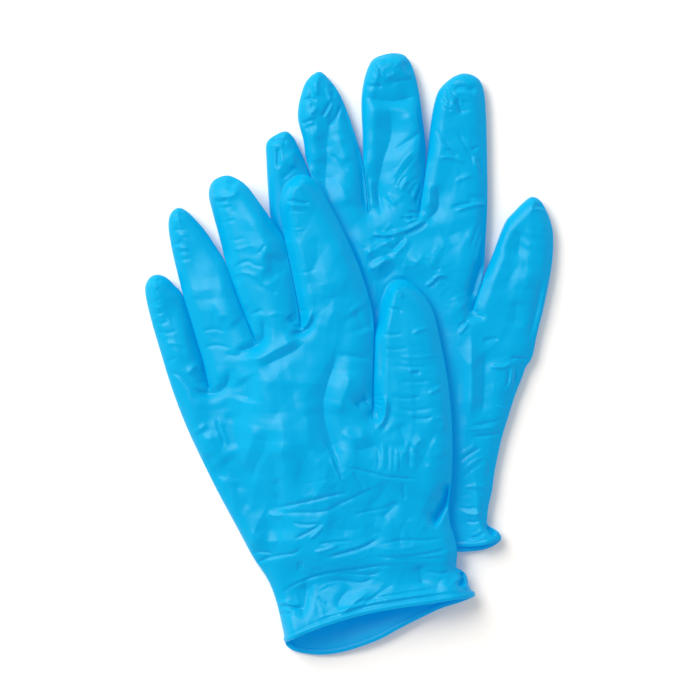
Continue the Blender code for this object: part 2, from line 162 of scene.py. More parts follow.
FRONT_RUNS = {
    "little_finger": [
        (-31.5, -140.5), (-33.5, -131), (-36, -121), (-40, -111), (-47.5, -99.5), (-55, -85.5),
        (-66, -65), (-79, -38), (-87, -17.5), (-92.5, 0), (-97.5, 17), (-100.5, 31), (-99, 37),
        (-95, 39.5), (-90, 38), (-85.8, 34), (-82, 29.5), (-78.95, 20), (-74.95, 6.5),
        (-72, -3), (-69, -16.3),
    ],
    "ring_finger": [
        (-68.85, -16.3), (-71.85, -3), (-74.8, 6.6), (-78.8, 20), (-81.85, 30), (-85, 42),
        (-87.5, 53), (-89, 63), (-88, 69.5), (-84, 72.5), (-79.5, 70.5), (-75, 66), (-70, 60),
        (-65, 52.5), (-61, 46), (-58.15, 38), (-54.15, 27), (-50.15, 17), (-45.75, 6.6),
    ],
    "middle_finger": [
        (-45.6, 6.65), (-50, 17.05), (-54, 27.05), (-58, 38.05), (-60.8, 46.4), (-64, 59),
        (-66.8, 69), (-69, 79), (-67, 85.5), (-60.5, 88.2), (-55, 86.5), (-50, 82.8),
        (-45, 76.3), (-39.5, 68.5), (-35, 62), (-31.8, 56.5), (-29.15, 45), (-26.5, 32),
        (-24.65, 22), (-23.7, 13.5),
    ],
    "index_finger": [
        (-23.55, 13.5), (-24.5, 22), (-26.35, 32), (-29, 45), (-31.6, 57), (-33.4, 67), (-34, 75),
        (-32, 83), (-28, 87), (-23.5, 88.6), (-18.5, 87), (-14, 82), (-10, 75), (-5, 65.5),
        (0, 55), (5, 43.5), (8.5, 33), (11.2, 23.5), (12.35, 14), (12.2, 0), (11.75, -15),
        (11.8, -29),
    ],
    "thumb": [
        (11.95, -29), (11.9, -15), (12.35, 0), (12.9, 11), (14.8, 21.5), (17, 30.5), (20, 35.3),
        (24.5, 37), (30, 35.5), (35.5, 31), (40, 24.5), (42.7, 17), (45.2, 6), (47.4, -5),
        (49.3, -17), (50.6, -32), (51, -48), (50.5, -62), (49.2, -75), (50, -83), (52.2, -90),
        (53.4, -97), (53.2, -104.5), (55.5, -106.2), (57.8, -108.3), (58.9, -111.5), (59.8, -115),
        (62, -118),
    ],
}
FRONT_MOUTHS = (
    [
        (62, -118), (52, -118.9), (40, -120.8), (28, -122.4), (15, -124.6), (5, -126.8),
        (-5, -129.6), (-15, -133), (-24, -136.6), (-31.5, -140.5),
    ],
    [
        (62, -118), (55, -120.8), (45, -124), (35, -128.7), (25, -133.7), (15, -139.2),
        (5, -143.1), (-5, -146), (-15, -147), (-25, -145.8), (-29.3, -143.5), (-31.5, -140.5),
    ],
)

# Creases of the upper sheets: height, width, and the path's points as x, y, x, y. Of two widths, the
# first is to the left of the path's direction and the second to its right.
FRONT_CREASES = [
    # Little finger.
    (0.56, 0.9, [-98.5, 35, -96, 34, -94, 31.5]),
    (-0.56, 0.7, [-97, 37.5, -95, 35.5, -93.5, 36.5, -92.5, 38]),
    (-0.41, 0.7, [-99, 27, -95.5, 26, -92, 27.5]),
    (-0.34, 0.7, [-98, 21, -94, 20, -90, 21.5]),
    (-0.34, 0.7, [-96.5, 16, -92.5, 15, -88, 16.5]),
    (-0.38, 0.8, [-94, 11.5, -89.5, 10.5, -84, 12]),
    (0.47, 0.8, [-91, 5, -86, 5.5, -80, 4]),
    (-0.56, 0.7, [-91, -3.5, -88, -3, -84.5, -1.5]),
    (-0.85, 0.8, [-91.5, -8, -87.5, -9, -84, -10, -80, -13.5, -75, -17.5, -70, -19, -64, -18]),
    (1.12, 1.8, [-79.5, -11, -77, -7, -74, -5.5, -71.8, -9]),
    (-1.79, 2.4, [-78, -16, -72, -19.5, -66, -19.5, -60.5, -16, -58.5, -10, -60, -6]),
    (0.62, 1.2, [-73.5, -14.5, -70, -17, -66, -16, -62.5, -13]),
    (-1.62, 4.5, [-52, -11, -49, -17, -50, -24]),
    # Ring finger.
    (-0.56, 0.8, [-87, 67, -83.5, 68.5, -80.5, 68]),
    (-0.53, 0.8, [-88, 60.5, -84, 61.5, -80, 60.5]),
    (-0.56, 0.8, [-88, 55.5, -84.5, 54.5, -81, 56]),
    (0.53, 0.8, [-87, 52, -83, 52.5, -78.5, 51.5]),
    (-0.38, 0.8, [-86, 47.5, -82, 46.5, -77, 47.5]),
    (0.22, 2.5, [-80, 33, -73, 31, -66, 33]),
    (-0.22, 2.5, [-78, 28, -70, 27, -62, 29]),
    (1.22, 4.5, 3, [-66, 18, -60, 19, -55, 14]),
    (-0.38, 0.7, [-73, 11, -66, 12.5, -60, 11]),
    (-0.47, 0.8, [-72, 3, -65, 4.5, -57, 3]),
    (-2.44, 2.2, [-42.8, 19, -41.5, 13, -41.8, 7.5, -45.5, 4, -52, 2.2, -57, 2.5]),
    (0.75, 1.2, [-49.5, 17, -47, 11, -44.5, 7.8]),
    (-0.62, 1.6, [-62, 0.5, -56, -0.5, -50, 0, -45, 2]),
    (1.46, 3.2, [-50, -3.5, -44, -2, -38, 1, -31, 4.5, -24, 8]),
    (-1.3, 2.6, [-44, -7, -37, -3.5, -28, 1, -20, 7]),
    # Middle finger.
    (-2.11, 3, [-66.5, 82, -62, 83.5, -57, 83.8, -54.5, 82.5]),
    (0.69, 1.1, [-68, 80, -65, 77.7, -60, 77.3, -56, 78.5, -53.5, 82]),
    (-0.85, 0.8, [-66.5, 75.8, -63, 75, -58.5, 76]),
    (-0.47, 0.7, [-65.5, 72.5, -61, 72, -56.5, 73]),
    (-0.38, 0.7, [-64.5, 66, -60, 65, -55, 66.5]),
    (-0.25, 0.7, [-62, 57, -56, 56, -50, 57.5]),
    (0.25, 0.8, [-60, 52.5, -54, 51.5, -48, 53, -43, 52]),
    (-0.6, 0.8, [-57.5, 41, -54, 44, -49, 45.5, -45, 43.5, -39, 43]),
    (0.56, 1.3, 0.7, [-57.5, 38, -53, 39.8, -48, 39, -43.5, 36.5]),
    (-0.56, 0.7, [-44, 49, -42, 52, -40.5, 54]),
    (-0.65, 0.7, [-44, 34.5, -39, 31.5, -34.5, 29.5]),
    (1.13, 3, 2.2, [-56.5, 37, -53, 29, -49.5, 21]),
    (-0.85, 0.8, [-48.5, 19.5, -45.5, 20.5, -42, 22]),
    (0.47, 0.8, [-40, 19, -35, 20, -30, 19]),
    (-1.41, 5, [-37, 50, -38, 42, -35, 36]),
    # Crotch of the middle and index fingers.
    (-1.46, 2, [-29.5, 19, -27.5, 16.5, -27, 15]),
    (1.5, 0.9, [-30, 13.2, -27, 12.4, -23, 12.5, -20, 15.5, -18.7, 19.5, -19, 22]),
    (-1.38, 1.6, [-15.5, 21, -17.5, 16, -20.5, 12, -26, 10, -30, 9.8]),
    # Index finger.
    (-0.85, 0.9, [-28.5, 82.5, -26, 84, -22, 84.8]),
    (-1.23, 0.7, [-31, 75.2, -27, 75, -23, 74.2, -18.5, 73.9]),
    (0.65, 0.7, [-31, 73.6, -26, 73, -20, 72.2]),
    (-0.41, 0.6, [-31, 70.5, -26, 70.3, -20, 69.5]),
    (-0.2, 0.6, [-31, 63, -26, 62, -21, 63]),
    (-0.2, 0.6, [-30.5, 60.5, -25, 60, -20, 61]),
    (-0.34, 0.8, [-28, 41, -22, 40, -15, 42]),
    (-0.56, 0.7, [-25.2, 22, -22.5, 21.5, -20, 22]),
    (0.7, 4, [-16, 33, -8, 35, 0, 33]),
    (-0.56, 3, [-14, 26, -6, 28, 3, 27]),
    # Fold down the palm beside the thumb.
    (-3.04, 3.2, 5.5, [
        -1, 6.5, -5.5, 3, -6.8, -4, -9.3, -12, -11.8, -21, -11.8, -31, -8.8, -42, -5, -52, -2.5, -63,
    ]),
    (-0.75, 1.2, [-6, 0.5, 0, -0.8, 6, -1.4, 11, -2.8]),
    (-2.03, 4.5, [2, 22, 6, 16, 8, 10]),
    (1.83, 5.5, [0, -7, 0, -14, -3, -22, -5, -30]),
    (-2.44, 3, [3.5, -26, 6.5, -23, 10.5, -21.5]),
    (0.82, 3, [-4, -38, 3, -41, 10, -40]),
    (-1.22, 4, [2, -47, 9, -46, 15, -43]),
    # Tuck at the root of the thumb.
    (1.12, 1.6, 1, [13.5, 14, 13.6, 6, 13.8, -4, 13.3, -14, 13.2, -19]),
    (-0.75, 1, [16.8, 8, 16.6, -2, 16, -12]),
    (1.5, 1, [12.5, -36, 15.5, -34.3, 17.8, -29.5, 18.3, -24, 17.3, -19.5]),
    (-0.88, 1.3, [15, -38.5, 18.5, -34.5, 20.3, -29, 20.5, -23]),
    (-0.85, 0.5, [12.8, -20.8, 15, -20.3, 16.6, -19.3]),
    (-0.85, 0.5, [12.8, -22, 15.2, -22.3, 17, -21.8]),
    (-0.75, 0.5, [12.8, -23.5, 15, -24.8, 16.4, -25.5]),
    (-1.12, 0.5, [11.2, -24, 11.8, -28, 12.6, -33]),
    (-0.75, 0.5, [14, -27, 14.3, -30.5, 13.8, -33.5]),
    # Thumb.
    (-0.85, 0.8, [20.5, 34, 18.3, 31.5, 19, 28.7, 21.5, 28]),
    (0.75, 0.8, [22.5, 32.5, 25.5, 30, 25.5, 27]),
    (-0.85, 0.6, [19.5, 22.6, 23, 22.2, 26.5, 21]),
    (0.75, 0.8, 0.6, [31, 9.8, 35, 12, 39.5, 13]),
    (-0.41, 0.7, [15, 10.8, 20, 9.7, 27, 10]),
    (-0.34, 0.7, [16, 3, 23, 2.5, 30, 3.5]),
    (0.34, 0.7, [24, -1, 33, -1.5, 43, -0.5]),
    (-0.38, 0.7, [20, -5, 30, -6, 42, -5.5]),
    (-0.85, 0.9, [31, -9.5, 33, -8.5, 35, -9.5]),
    (0.56, 0.8, [29, -8, 31.5, -7.5, 34, -8]),
    (-0.41, 0.7, [24, -13, 33, -13.5, 41, -12.5]),
    (0.85, 0.9, 0.7, [39, -19.5, 42.5, -17.5, 46, -15.5]),
    (-0.47, 0.7, [20, -20, 28, -21.5, 36, -20.5]),
    (-0.47, 0.9, [22, -26, 31, -27.5, 44, -25.5]),
    (0.75, 0.9, [41.5, -31.5, 44.5, -31, 46.5, -33, 46, -37.5]),
    (-0.75, 0.8, [30, -31, 37, -31.5, 42, -30]),
    (0.89, 2, [31, -46, 34, -43, 37, -40.5]),
    (-0.75, 0.7, [32, -46, 35.5, -50, 39, -55]),
    (-1.22, 4, [24, -33, 27, -40, 28, -48]),
    (0.82, 3.5, [40, -42, 44, -45, 46, -51]),
    # Upright folds above the wrist.
    (-0.39, 0.7, [14.2, -43, 14.6, -50, 14.2, -57]),
    (0.39, 0.8, [16.6, -42, 17, -50, 16.6, -58]),
    (-0.45, 0.7, [19, -43, 19.6, -50, 19.4, -58]),
    (-0.45, 0.6, [21.8, -46, 22.4, -52, 22.2, -58]),
    (0.39, 0.6, [23.2, -46, 23.8, -52, 23.4, -58]),
    (-0.39, 0.6, [24.6, -47, 25, -52, 24.8, -57]),
    (-0.74, 0.9, [30.8, -42, 29.8, -47, 29.6, -52, 29.8, -56]),
    (0.37, 1.2, [32.5, -47, 32, -52, 32.5, -58]),
    (-0.65, 0.7, [26.6, -62, 27, -67, 27.6, -72]),
    # Long lines across the wrist.
    (-0.85, 0.55, 0.7, [-4, -54.8, 4, -56, 12, -58, 19, -59.7, 28, -60.5, 36, -61.2]),
    (-0.75, 0.55, [1.5, -56.5, 4.5, -61, 8.2, -66.5]),
    (0.85, 0.5, [-9.5, -49, -7, -55, -3.8, -62.5]),
    (-0.65, 0.45, [-8.3, -48.5, -5.8, -54.5, -2.8, -61.5]),
    (-0.94, 0.6, 0.9, [-39, -76, -30, -74, -19, -71.5, -8, -68.8, 2, -67]),
    (-0.75, 0.6, 1.2, [-37, -78.2, -26, -77.2, -12, -76.6, -3, -72.3, 8, -67.3, 18, -62.3]),
    (0.94, 1, [-40, -78, -36, -79.3, -32, -78.5]),
    (-0.56, 0.7, [0, -79, 8, -77, 18, -75, 27, -71]),
    (-0.89, 2.2, [26, -72, 20, -76.5, 15.5, -81]),
    (-0.85, 0.5, 0.7, [-28, -82.3, -21, -83.3, -15, -82.8, -11.8, -82.8]),
    (-0.94, 0.5, 0.7, [-27, -90.5, -20, -87, -12, -82.5]),
    (0.85, 0.6, [-12.3, -83.5, -15.5, -87.5, -20, -91]),
    (-0.75, 0.6, [-16, -93, -10, -92.2, -2, -91.5, 4, -91.8]),
    (0.75, 0.7, [-18, -97, -12, -96, -4, -93]),
    (-1.23, 0.55, 1, [-13, -99.8, -6, -98, 2, -95.9, 9, -93.3, 16, -89]),
    (-0.75, 0.6, [-48, -97.5, -42, -97, -35, -98.5]),
    (-0.94, 0.6, 0.9, [-46, -102, -40, -100, -32, -98.2, -26, -97, -21.5, -93]),
    (-0.85, 0.7, [-47, -103, -43.5, -101.8, -40, -101]),
    (-0.85, 0.6, 0.9, [10, -98.5, 22, -99.3, 33, -98.5, 44, -96.5, 52, -94]),
    (0.44, 1.2, [14, -96, 26, -95, 38, -93]),
    (-0.65, 0.6, [14, -93, 26, -91, 38, -91, 48, -90]),
    (-0.56, 0.6, [20, -101, 34, -100.3, 50, -99.5]),
    (-0.85, 0.6, 0.8, [-36, -119.5, -28, -114, -18, -109.5, -8, -107, 3, -105.5, 14, -103.7, 30, -103]),
    (-0.65, 0.6, [-8, -108.2, 0, -107.5, 10, -108, 18, -106]),
    (-0.65, 0.7, [-12, -112, -4, -110.8, 6, -112, 14, -109]),
    (-0.75, 0.5, [-24.2, -101, -24.6, -105.8, -24.2, -107]),
    (-0.75, 0.5, [-22.8, -101, -23, -104.5, -23, -106]),
    # Cuff.
    (-2.03, 2, 6, [-22, -110, -20.5, -116, -21.5, -124, -24, -130]),
    (-1.04, 0.6, [-35, -125, -31, -123.8, -26, -124.6, -21.5, -124.8]),
    (-0.94, 0.6, [-34.5, -127.3, -30, -127.5, -26.5, -126.3]),
    (0.94, 0.8, [-35, -122.8, -31, -122, -27, -123, -23, -122.3]),
    (0.75, 0.7, [-17, -118.5, -14, -120.5, -10.5, -122.7]),
    (-0.94, 0.5, [-16, -118.5, -13, -120.7, -9.8, -123]),
    (1.46, 2.4, 2, [14, -114, 6, -119, -2, -126, -10, -131.5, -22, -136.5]),
    (-1.13, 2, [2, -114.5, -3, -119, -6, -125]),
    (-0.75, 0.6, [22, -112.5, 13, -118.5, 6, -124]),
    (-0.6, 0.6, [-27, -135.5, -14, -130.6, -4, -127.3, 8, -123.8, 24, -120.8, 42, -118.3, 58, -116]),
    (0.6, 0.6, [-20, -131.2, -8, -127, 4, -123.3, 18, -120.4, 34, -118, 52, -115.5]),
    (-0.5, 0.6, [-6, -124.6, 6, -121, 20, -118.3, 36, -115.8, 50, -113.8]),
    (-1.46, 2.6, [34, -103, 35.5, -108, 36.5, -114]),
    (-0.65, 0.6, [37, -106, 44, -107.3, 52, -106.5]),
    (1.3, 3.5, [44, -112, 50, -115, 57, -116.5]),
    # Pinch at the right edge and the curl of the cuff beside it.
    (-5.7, 1.2, 4, [50, -62, 48.5, -70, 46, -76, 43.4, -81, 42, -86]),
    (1.12, 1.6, [49.5, -64, 46, -70, 42.5, -75.5, 40.5, -80]),
    (-3.75, 1.3, [54.5, -105.8, 56.3, -109, 55.6, -112.3, 53, -113.8]),
    (2.25, 1.2, [57, -108, 58.2, -111.5, 58, -116]),
    # Broad shading of the palm's outer side.
    (0.62, 1.2, [-77.5, -40, -73.5, -37, -69, -34]),
    (-0.75, 0.7, [-65.5, -31, -63.5, -37, -60.5, -45.5]),
    (0.56, 0.7, [-64, -31, -62, -37, -59, -45]),
    (-1.41, 5, [-58, -27, -56, -38, -54, -48]),
    (1.41, 6, [-69, -37, -66, -46, -60, -55]),
    (-0.97, 3, [-70, -48, -66, -56, -60, -62]),
    (-1.13, 3.5, [-40, -36, -41, -46, -45, -54, -48, -64]),
    (1.22, 5, [-46, -34, -48, -44, -52, -56]),
    (1.02, 6, [-34, -28, -32, -40, -34, -52]),
    (-1.02, 4, [-36, -60, -33, -67, -36, -73]),
    (1.02, 7, [-22, -22, -20, -34, -20, -48]),
    (-0.82, 3.5, [-55, -62, -54, -70, -48, -76]),
    (-0.56, 0.7, [-22, -47, -18.5, -53, -14, -60]),
    (-0.56, 0.7, [-12, -40, -9, -46, -6, -51]),
    (0.65, 3, [-46, -88, -40, -92, -34, -92]),
    (-1.02, 4, [-12, -84, -2, -86, 8, -85]),
    (1.02, 6, [22, -84, 32, -82, 40, -86]),
]

BACK_CREASES = [
    # Little finger.
    (-1.69, 1, [-38.5, 105, -35.5, 106, -32.5, 105.2, -30, 104.5]),
    (-1.31, 0.9, [-34.8, 102.5, -34.6, 98, -34.8, 91]),
    (0.82, 3, [-28, 101, -27, 96, -28, 91]),
    (-0.5, 1.2, [-25, 93.5, -30, 88.5, -34, 86]),
    # Ring finger.
    (0.75, 1.6, [-17, 136, -15.5, 131, -16, 127]),
    (-0.85, 0.9, [-20, 134, -18.5, 129, -19.5, 124]),
    (-0.88, 1.2, [-9, 134, -7.5, 130, -8, 126]),
    (0.85, 0.7, [-11.5, 132, -9.5, 128, -9, 124]),
    (-1.12, 0.8, [-8.5, 125, -11, 120.5, -13.5, 116.5]),
    (0.84, 0.8, [-8, 124, -9.8, 119.5, -12, 116]),
    (-1.27, 0.7, 0.9, [-3.5, 124, -5, 119.5, -7, 115.5, -10.5, 112.5]),
    (0.98, 1, [-14.5, 120.5, -17.5, 119.8, -18.5, 117.5, -16, 116]),
    (-0.98, 0.8, [-23.5, 113.5, -19.5, 115, -17, 115.5]),
    (-1.13, 2.2, [-22, 111, -18, 112.5, -15.5, 113]),
    (-0.75, 0.7, [-23, 124.5, -19, 125.8, -15.5, 124.5]),
    (-0.65, 2.6, [-14.5, 108, -12, 103, -10.5, 100]),
    (-3.2, 5.5, 9, [-12, 74, -11, 92, -10.2, 106, -8.5, 118, -6, 128]),
    (-0.58, 3.5, [-15, 97, -14, 91, -13.5, 85]),
    (-0.75, 0.5, [-9.5, 99.5, -6, 96.3, -3, 93, 0, 90]),
    (1.02, 4, [-5, 109, -3, 101, 0, 94]),
    (0.81, 4, [-8, 88, -3, 81, 0, 73]),
    # Middle finger.
    (-1.04, 0.8, [14, 146.5, 18, 147.5, 20.5, 147]),
    (0.75, 0.8, [11, 142, 14, 145, 19, 145.5]),
    (-0.65, 0.45, [11, 143, 12.6, 139.5, 14, 136]),
    (-0.65, 0.45, [14, 144.5, 15, 140, 17, 136]),
    (0.65, 0.45, [12.6, 143.5, 14, 139.5, 15.6, 136]),
    (-0.81, 0.6, 1.3, [8, 133.2, 11.5, 132.2, 17.5, 132.3]),
    (-0.75, 0.7, 1.2, [17.5, 134.5, 22, 134.3, 28, 135.3, 33, 135.4]),
    (0.69, 1.2, 0.8, [18, 136.2, 21, 137, 24, 138.5]),
    (-1.13, 2.4, [27, 144, 28.5, 141, 28, 138.5]),
    (-3.04, 6.5, 2.6, [7, 127, 16, 125, 25, 125, 35, 128]),
    (1.22, 2, 4, [10, 84, 9, 98, 8.8, 111, 8.8, 124]),
    (-3.4, 8, 6, [16.5, 64, 15, 82, 17, 95, 21, 107, 21, 116, 19, 126]),
    (1.83, 6, 2.5, [33, 92, 35, 104, 34, 115, 32, 124]),
    (-0.75, 1.2, [22, 100, 28, 104, 33.5, 108, 36, 111]),
    (0.56, 3, [28, 119, 32, 113, 34, 108]),
    (-1, 1.8, [13.5, 86, 14.3, 79, 15.5, 73, 16.5, 68.5]),
    (0.82, 2, [10.8, 88, 11.3, 79, 12.3, 71]),
    (-0.61, 0.6, [24.5, 82, 26, 85.5, 28.5, 88.5]),
    (0.68, 0.6, [26, 80, 27.4, 84, 29.5, 86]),
    (-0.55, 0.6, [28, 81, 30.5, 84.5, 33, 86.5, 36, 87.5]),
    (0.42, 0.6, [20, 85, 23.5, 90, 28, 96, 33, 101]),
    (-0.42, 0.6, [22, 82, 26, 88.5, 31, 95, 36, 100]),
    (-0.65, 0.5, [30, 78, 31.5, 82, 33.5, 85]),
    (0.75, 0.5, [31.5, 76, 33, 80, 35, 84]),
    (-0.75, 0.5, [33, 73.5, 34, 78, 36.4, 84]),
    (0.65, 0.6, [19, 80, 21.5, 76, 24, 73]),
    (-0.65, 0.6, [17, 78, 20, 74, 22, 71]),
    # Star of creases at the crotch of the middle and index fingers.
    (-1.12, 0.6, [34.5, 71.5, 34.8, 68.5, 33, 66.5]),
    (-1.04, 0.6, [29, 70.2, 32, 69.8, 35.5, 68.8]),
    (0.94, 0.6, [27, 67.5, 31, 68.3, 35, 68]),
    (-0.85, 0.6, [25, 66.7, 29, 67.3, 33, 67]),
    (0.85, 0.6, [28, 65, 32, 66.2, 36, 67.5]),
    (1, 1.8, [39.5, 85, 39.7, 78, 39, 71]),
    (-2.11, 2.6, [43, 84, 44.5, 78, 44, 72, 40.5, 67.5, 36, 65]),
    (1.12, 1, [38, 66.5, 33, 63.5, 28, 61, 22, 60]),
    (-1.31, 0.9, [39.5, 65.5, 34, 62, 29, 59.8, 26, 58]),
    (1, 1.2, 1, [12, 60.2, 16, 58.5, 22, 59.3, 27, 60.5]),
    (-1.04, 0.8, [11.5, 58.3, 17, 57, 23, 57.8]),
    (-1, 1.8, [28, 58, 24, 53.5, 20, 50.5]),
    (1.12, 1.4, [30, 57, 26, 52.5, 21.5, 48]),
    (1.3, 2.2, 1.6, [8, 49, 15, 52.5, 22, 56.5]),
    (-0.75, 1.6, [9, 45.5, 16, 48, 21, 50]),
    (1.46, 2, [9, 41, 15, 44, 20, 49]),
    (-0.82, 3, [10, 36, 18, 38, 25, 45]),
    # Index finger.
    (1.04, 0.6, [48.2, 132, 49.5, 128.5, 51.5, 125, 53, 122.5]),
    (-1.04, 0.6, [47.2, 131, 48.8, 127, 50.5, 124]),
    (-0.94, 0.6, [46, 126, 48, 123.5, 50.5, 122]),
    (0.94, 0.6, [47, 124.5, 49, 122.2, 51.5, 121]),
    (-0.85, 0.6, [46.5, 122.3, 49, 120.8, 51, 120.5]),
    (-1.31, 1, [53.5, 127, 54, 123.5, 56, 117.5]),
    (-1.79, 2, 1.6, [51, 129.5, 54.5, 131.5, 59, 130.8, 63.5, 129]),
    (0.75, 1.3, [50.5, 127.5, 56, 129, 62, 127.8]),
    (-0.97, 3, [57, 126, 56.8, 122, 58, 118]),
    (-0.75, 0.6, [42, 112, 46.5, 106, 51, 100, 53, 98]),
    (-0.65, 0.6, [53, 111, 56, 105, 60, 98, 61.5, 92]),
    (0.85, 0.8, [44, 96.3, 49, 97, 54, 95.8, 57.5, 93.5]),
    (-0.75, 0.6, [46, 100.5, 50, 100, 54, 97]),
    (-0.94, 0.7, [60, 100, 62, 101.5, 64.5, 102.5]),
    (0.85, 0.8, [62, 98, 62.5, 94, 65, 91]),
    (-0.85, 0.7, [63.5, 97, 65, 92, 65.8, 87]),
    (0.65, 1, [52, 85, 57, 87, 62, 89]),
    (-0.75, 1.6, [58, 76.2, 62.5, 77.3, 67.5, 76]),
    (1.23, 0.7, [52, 70.3, 57, 72, 63, 73.6, 68.3, 73.8]),
    (-0.75, 0.7, [50, 72, 56, 73.8, 62, 75]),
    (-0.65, 0.6, [65, 66, 62.5, 60, 60, 52]),
    (0.75, 0.8, [66.8, 60, 64.5, 53, 62.5, 44]),
    (-2.59, 1.6, 2.4, [66.5, 48, 64, 40, 61.5, 32, 60, 26]),
    # Palm.
    (1.12, 0.7, [37, 33.2, 40, 34.8, 43, 37.8, 46, 39, 49.5, 37.5]),
    (-0.38, 0.7, [38.5, 32.5, 42, 34.5, 45, 37, 49, 36]),
    (-0.56, 0.6, [41, 43, 43, 41.2, 45, 43]),
    (1.02, 5, [30, 44, 38, 48, 46, 46]),
    (-0.81, 5, [46, 56, 54, 60, 60, 58]),
    (0.82, 3, [52, 29, 54.5, 25, 57, 22]),
    (-1.12, 1.6, [56, 16.5, 59.5, 18.3, 64, 18.7, 68, 18.4]),
    (0.85, 0.8, [54, 9.5, 56.5, 12.5, 59, 16]),
    (-0.85, 0.7, [53.5, 14, 56, 14.8, 59, 17]),
    (-0.94, 0.5, [61.6, 25, 61, 22.5, 60, 20.3]),
    (0.94, 0.6, [63.5, 26.5, 63.2, 23.5, 62.5, 21]),
    (-0.94, 0.9, [65.5, 6, 69, 7.3, 74.5, 7.8]),
    (1.83, 4, 3, [60, 14, 60.5, 0, 60.5, -16, 60, -33]),
    (-1.46, 3, 3.5, [67, 3, 67, -8, 66.5, -22, 65, -32]),
    # Thumb.
    (-1.02, 4, [85, 62, 84, 54, 83, 46]),
    (0.81, 4, [80, 66, 77, 57, 74, 48]),
    (-1.02, 4, [82, 27, 82.5, 20, 81, 13]),
    (-1.12, 1.2, [91, 73, 94, 72.8, 97, 71.5]),
    (1.04, 0.8, [90.5, 71.3, 94.5, 71.5, 98, 70]),
    (1, 1.6, 1.4, [98.8, 42, 97, 31, 94.5, 18, 91.5, 6]),
    (-1.13, 1.6, 2, [95.5, 38, 93.5, 27, 91, 16, 88.5, 6]),
    # Heel of the thumb and the wrist.
    (-1.12, 0.6, [89.5, -1.5, 86, -2, 82, -1.5, 79, -3]),
    (1.31, 0.8, [69, -5.8, 74, -6.3, 78, -5.5, 81, -3.5]),
    (-0.94, 0.6, [78, -7, 78.7, -11, 77.5, -17]),
    (0.85, 0.6, [80.5, -6, 80.5, -11, 79.5, -16]),
    (-0.94, 0.6, [82.5, -4, 82.3, -9, 81.5, -14]),
    (-0.85, 0.6, [84, -18, 81.5, -22, 80, -27]),
    (0.94, 0.6, [85.5, -16, 83, -21, 81.5, -26]),
    (0.57, 0.7, [72, -25, 76, -26.8, 80, -26]),
    (-0.65, 0.6, [60, -35, 66, -34.2, 72, -33, 77, -31]),
    (0.65, 0.7, [58, -37, 66, -36.6, 74, -35.5]),
    (-1.04, 0.6, 0.7, [60, -40.2, 66, -40, 72, -39.2, 77, -38]),
    (-0.68, 0.8, [54, -54, 57, -50.8, 61, -48, 66, -45]),
    (0.52, 0.9, [55, -50, 59, -47, 63, -44.5]),
    (0.47, 0.7, [56, -58, 60, -54, 64, -51.5, 68, -50]),
    (-0.41, 0.6, [56, -61, 61, -56.5, 66, -53.5]),
    (-0.75, 0.7, [68, -51, 69.5, -56, 68.5, -61]),
    (0.65, 0.8, [56, -66, 62, -65, 69, -66]),
    (-0.65, 0.7, [54, -75, 59, -76, 64, -75]),
    (0.75, 0.7, [56, -78, 62, -79, 66, -77]),
    (-0.65, 0.6, [57, -82, 62, -82.5, 66, -81]),
    (-1.04, 0.7, [60, -91, 64, -89.8, 67.5, -87.5]),
    (0.94, 0.7, [58, -92.6, 63, -91.6, 68, -89]),
    (-3.5, 1.3, [68.5, -83.5, 69.5, -86, 71, -88, 73, -89]),
    (1.75, 1.2, [70.5, -85.2, 73, -87, 74.5, -89]),
]

# Patches of small creases: seed, middle, radii, heading in degrees, count, length, height, width.
FRONT_WRINKLES = [
    (1, (-94, 24), (5, 14), 5, 10, 5, 0.16, 0.6),
    (2, (-84, 58), (5, 14), 5, 12, 5, 0.18, 0.6),
    (3, (-60, 72), (6, 12), 5, 8, 6, 0.14, 0.6),
    (4, (-27, 68), (5, 14), 2, 8, 6, 0.12, 0.6),
    (5, (33, -8), (12, 20), 5, 18, 9, 0.11, 0.7),
    (6, (34, -46), (10, 14), 120, 12, 8, 0.16, 0.7),
    (7, (20, -50), (8, 9), 88, 6, 9, 0.12, 0.6),
    (8, (4, -70), (30, 14), 12, 22, 12, 0.16, 0.6),
    (9, (10, -100), (36, 14), 10, 24, 12, 0.16, 0.6),
    (10, (-18, -125), (8, 9), 125, 12, 7, 0.25, 0.6),
    (11, (0, -115), (20, 10), 40, 12, 9, 0.2, 0.7),
    (12, (-40, -50), (32, 45), 100, 16, 30, 0.8, 5.0),
    (13, (10, -60), (30, 40), 60, 12, 26, 0.7, 4.5),
    (14, (-20, 40), (30, 30), 70, 14, 18, 0.5, 3.5),
]
BACK_WRINKLES = [
    (21, (-16, 126), (6, 12), 80, 10, 7, 0.14, 0.6),
    (22, (20, 138), (8, 8), 70, 10, 7, 0.2, 0.6),
    (23, (27, 84), (8, 12), 50, 12, 8, 0.15, 0.6),
    (24, (50, 124), (5, 8), 110, 8, 6, 0.2, 0.6),
    (25, (58, 98), (8, 14), 110, 10, 8, 0.2, 0.7),
    (26, (20, 52), (12, 12), 25, 12, 14, 0.25, 0.9),
    (27, (50, 40), (14, 16), 30, 12, 10, 0.16, 0.7),
    (28, (78, -15), (6, 14), 80, 12, 8, 0.2, 0.7),
    (29, (66, -45), (8, 14), 30, 14, 10, 0.16, 0.7),
    (30, (62, -76), (6, 14), 0, 8, 8, 0.2, 0.7),
    (31, (86, 50), (8, 20), 80, 8, 18, 0.6, 4.0),
    (32, (10, 0), (35, 60), 70, 16, 30, 0.8, 5.0),
    (33, (15, -60), (40, 34), 10, 14, 24, 0.7, 4.0),
]


def smoothstep(share):
    share = np.clip(share, 0, 1)
    return share * share * (3 - 2 * share)


